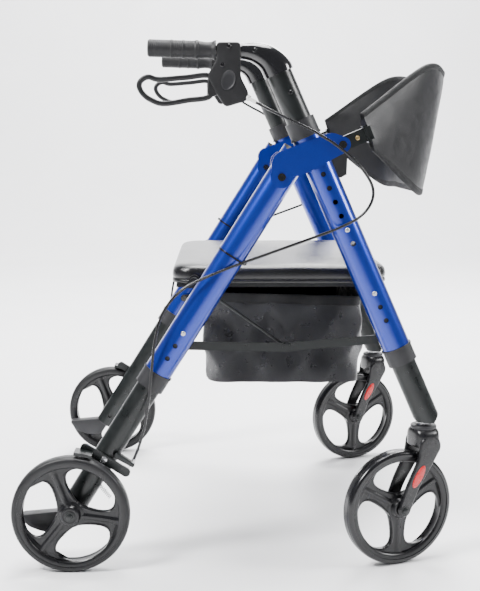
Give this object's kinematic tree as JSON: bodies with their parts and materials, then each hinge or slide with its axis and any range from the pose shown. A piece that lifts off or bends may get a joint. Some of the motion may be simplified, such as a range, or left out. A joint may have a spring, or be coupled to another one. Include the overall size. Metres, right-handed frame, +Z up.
{
  "type": "rolling walker",
  "caption": "Four-wheeled folding walker with a padded seat, hanging bag, curved padded backrest, height-adjustable handles and loop hand brakes.",
  "frame": {"origin": "centre of the overall box on the floor", "axes": "+X is the walking direction, +Y is the user's left, +Z is up"},
  "size_m": [0.7716, 0.7542, 0.9087],
  "materials": {
    "blue_paint": "metallic gloss",
    "black_paint": "satin",
    "gloss_black": "gloss",
    "grip_rubber": "ribbed matt",
    "dark_plastic": "fine-grained satin",
    "wheel_plastic": "satin",
    "tyre": "matt",
    "steel": "polished zinc",
    "brass": "satin",
    "cable_jacket": "smooth",
    "pan_board": "matt",
    "vinyl": "glossy vinyl",
    "nylon": "woven",
    "band_cover": "satin"
  },
  "bodies": {
    "front_frame": {"right_front_leg": "blue_paint", "left_front_leg": "blue_paint", "gusset_plates": "blue_paint", "front_leg_collars": "dark_plastic", "backrest_stops": "dark_plastic", "seat_cross_tube": "blue_paint", "frame_bolts": "steel", "bag": "nylon", "right_brake_cable": "cable_jacket", "left_brake_cable": "cable_jacket"},
    "rear_frame": {"right_rear_leg": "blue_paint", "left_rear_leg": "blue_paint", "rear_leg_caps": "dark_plastic", "rear_leg_collars": "dark_plastic", "rear_cross_tube": "blue_paint", "cable_ties": "cable_jacket", "rear_link_studs": "steel"},
    "seat": {"seat_pan": "pan_board", "seat_pad": "vinyl"},
    "front_bars": {"front_links": "black_paint"},
    "rear_bars": {"rear_links": "black_paint"},
    "seat_rods": {"lift_rods": "black_paint"},
    "backrest": {"backrest_arms": "black_paint", "backrest_pad": "band_cover"},
    "right_handle": {"right_handle_post": "black_paint", "right_handle_elbow": "gloss_black", "right_grip": "grip_rubber", "right_brake_housing": "dark_plastic"},
    "right_lever": {"right_brake_lever": "dark_plastic"},
    "right_front_slider": {"right_front_extension": "black_paint"},
    "right_caster": {"right_caster_fork": "dark_plastic"},
    "right_front_roller": {"right_front_wheel": "wheel_plastic", "right_front_tyre": "tyre"},
    "right_rear_slider": {"right_rear_extension": "black_paint", "right_rear_fittings": "dark_plastic"},
    "right_rear_roller": {"right_rear_wheel": "wheel_plastic", "right_rear_tyre": "tyre"},
    "right_rocker": {"right_brake_rocker": "black_paint"},
    "right_handle_button_body": {"right_handle_button": "steel"},
    "right_front_leg_button_body": {"right_front_leg_button": "steel"},
    "right_rear_leg_button_body": {"right_rear_leg_button": "steel"},
    "right_backrest_button_body": {"right_backrest_button": "brass"},
    "left_handle": {"left_handle_post": "black_paint", "left_handle_elbow": "gloss_black", "left_grip": "grip_rubber", "left_brake_housing": "dark_plastic"},
    "left_lever": {"left_brake_lever": "dark_plastic"},
    "left_front_slider": {"left_front_extension": "black_paint"},
    "left_caster": {"left_caster_fork": "dark_plastic"},
    "left_front_roller": {"left_front_wheel": "wheel_plastic", "left_front_tyre": "tyre"},
    "left_rear_slider": {"left_rear_extension": "black_paint", "left_rear_fittings": "dark_plastic"},
    "left_rear_roller": {"left_rear_wheel": "wheel_plastic", "left_rear_tyre": "tyre"},
    "left_rocker": {"left_brake_rocker": "black_paint"},
    "left_handle_button_body": {"left_handle_button": "steel"},
    "left_front_leg_button_body": {"left_front_leg_button": "steel"},
    "left_rear_leg_button_body": {"left_rear_leg_button": "steel"},
    "left_backrest_button_body": {"left_backrest_button": "brass"}
  },
  "joints": [
    {"name": "fold", "type": "hinge", "parent": "front_frame", "child": "rear_frame", "pos_m": [0.068, 0, 0.6634], "axis": [0, -1, 0], "range_deg": [0, 30], "deforming": ["bag", "right_brake_cable", "left_brake_cable"]},
    {"name": "seat_lift", "type": "hinge", "parent": "front_frame", "child": "seat", "pos_m": [0.23075, 0, 0.455], "axis": [0, 1, 0], "range_deg": [0, 28.5]},
    {"name": "front_bar_turn", "type": "hinge", "parent": "front_frame", "child": "front_bars", "pos_m": [0.26221, 0, 0.384], "axis": [0, 1, 0], "range_deg": [0, 46.5]},
    {"name": "rear_bar_turn", "type": "hinge", "parent": "rear_frame", "child": "rear_bars", "pos_m": [-0.11438, 0, 0.373], "axis": [0, -1, 0], "range_deg": [0, 41.5]},
    {"name": "seat_rod_turn", "type": "hinge", "parent": "seat", "child": "seat_rods", "pos_m": [-0.078, 0, 0.482], "axis": [0, -1, 0], "range_deg": [0, 26.5]},
    {"name": "backrest_flip", "type": "hinge", "parent": "front_frame", "child": "backrest", "pos_m": [0.1673, 0, 0.716], "axis": [0, -1, 0], "range_deg": [0, 77]},
    {"name": "right_handle_height", "type": "slide", "parent": "front_frame", "child": "right_handle", "axis": [-0.4051, 0, 0.9143], "range_m": [-0.025, 0.1], "deforming": ["right_brake_cable"]},
    {"name": "right_lever_pull", "type": "hinge", "parent": "right_handle", "child": "right_lever", "pos_m": [-0.02854, -0.311, 0.84401], "axis": [0, 1, 0], "range_deg": [0, 12.5], "stiffness_Nm_per_rad": 2},
    {"name": "right_front_leg_length", "type": "slide", "parent": "front_frame", "child": "right_front_slider", "axis": [0.4051, 0, -0.9143], "range_m": [0, 0.05]},
    {"name": "right_rear_leg_length", "type": "slide", "parent": "rear_frame", "child": "right_rear_slider", "axis": [-0.5318, 0, -0.8468], "range_m": [0, 0.05], "deforming": ["right_brake_cable"]},
    {"name": "right_caster_swivel", "type": "hinge", "parent": "right_front_slider", "child": "right_caster", "pos_m": [0.31545, -0.311, 0.22], "axis": [0, 0, 1], "continuous": true},
    {"name": "right_front_wheel_spin", "type": "hinge", "parent": "right_caster", "child": "right_front_roller", "pos_m": [0.27064, -0.3282, 0.1], "axis": [-0.3584, 0.9336, 0], "continuous": true},
    {"name": "right_rear_wheel_spin", "type": "hinge", "parent": "right_rear_slider", "child": "right_rear_roller", "pos_m": [-0.28583, -0.355, 0.1], "axis": [0, 1, 0], "continuous": true},
    {"name": "right_rocker_turn", "type": "hinge", "parent": "right_rear_slider", "child": "right_rocker", "pos_m": [-0.23036, -0.336, 0.18832], "axis": [0, -1, 0], "range_deg": [0, 4.1]},
    {"name": "right_handle_button_press", "type": "slide", "parent": "front_frame", "child": "right_handle_button_body", "axis": [0, 1, 0], "range_m": [0, 0.004], "stiffness_N_per_m": 800},
    {"name": "right_front_leg_button_press", "type": "slide", "parent": "front_frame", "child": "right_front_leg_button_body", "axis": [0, 1, 0], "range_m": [0, 0.004], "stiffness_N_per_m": 800},
    {"name": "right_rear_leg_button_press", "type": "slide", "parent": "rear_frame", "child": "right_rear_leg_button_body", "axis": [0, 1, 0], "range_m": [0, 0.004], "stiffness_N_per_m": 800},
    {"name": "right_backrest_button_press", "type": "slide", "parent": "backrest", "child": "right_backrest_button_body", "axis": [0, 1, 0], "range_m": [0, 0.002], "stiffness_N_per_m": 800},
    {"name": "left_handle_height", "type": "slide", "parent": "front_frame", "child": "left_handle", "axis": [-0.4051, 0, 0.9143], "range_m": [-0.05, 0.075], "deforming": ["left_brake_cable"]},
    {"name": "left_lever_pull", "type": "hinge", "parent": "left_handle", "child": "left_lever", "pos_m": [-0.03867, 0.311, 0.86686], "axis": [0, 1, 0], "range_deg": [0, 12.5], "stiffness_Nm_per_rad": 2},
    {"name": "left_front_leg_length", "type": "slide", "parent": "front_frame", "child": "left_front_slider", "axis": [0.4051, 0, -0.9143], "range_m": [0, 0.05]},
    {"name": "left_rear_leg_length", "type": "slide", "parent": "rear_frame", "child": "left_rear_slider", "axis": [-0.5318, 0, -0.8468], "range_m": [0, 0.05], "deforming": ["left_brake_cable"]},
    {"name": "left_caster_swivel", "type": "hinge", "parent": "left_front_slider", "child": "left_caster", "pos_m": [0.31545, 0.311, 0.22], "axis": [0, 0, 1], "continuous": true},
    {"name": "left_front_wheel_spin", "type": "hinge", "parent": "left_caster", "child": "left_front_roller", "pos_m": [0.27064, 0.2938, 0.1], "axis": [-0.3584, 0.9336, 0], "continuous": true},
    {"name": "left_rear_wheel_spin", "type": "hinge", "parent": "left_rear_slider", "child": "left_rear_roller", "pos_m": [-0.28583, 0.355, 0.1], "axis": [0, 1, 0], "continuous": true},
    {"name": "left_rocker_turn", "type": "hinge", "parent": "left_rear_slider", "child": "left_rocker", "pos_m": [-0.23036, 0.336, 0.18832], "axis": [0, -1, 0], "range_deg": [0, 4.1]},
    {"name": "left_handle_button_press", "type": "slide", "parent": "front_frame", "child": "left_handle_button_body", "axis": [0, -1, 0], "range_m": [0, 0.004], "stiffness_N_per_m": 800},
    {"name": "left_front_leg_button_press", "type": "slide", "parent": "front_frame", "child": "left_front_leg_button_body", "axis": [0, -1, 0], "range_m": [0, 0.004], "stiffness_N_per_m": 800},
    {"name": "left_rear_leg_button_press", "type": "slide", "parent": "rear_frame", "child": "left_rear_leg_button_body", "axis": [0, -1, 0], "range_m": [0, 0.004], "stiffness_N_per_m": 800},
    {"name": "left_backrest_button_press", "type": "slide", "parent": "backrest", "child": "left_backrest_button_body", "axis": [0, -1, 0], "range_m": [0, 0.002], "stiffness_N_per_m": 800}
  ],
  "couplings": [
    {"joint": "seat_lift", "follows": "fold", "ratio": 0.91667},
    {"joint": "front_bar_turn", "follows": "fold", "ratio": 1.5167},
    {"joint": "rear_bar_turn", "follows": "fold", "ratio": 1.3567},
    {"joint": "seat_rod_turn", "follows": "fold", "ratio": 0.85167},
    {"joint": "right_rocker_turn", "follows": "right_lever_pull", "ratio": 0.3},
    {"joint": "left_rocker_turn", "follows": "left_lever_pull", "ratio": 0.3}
  ]
}
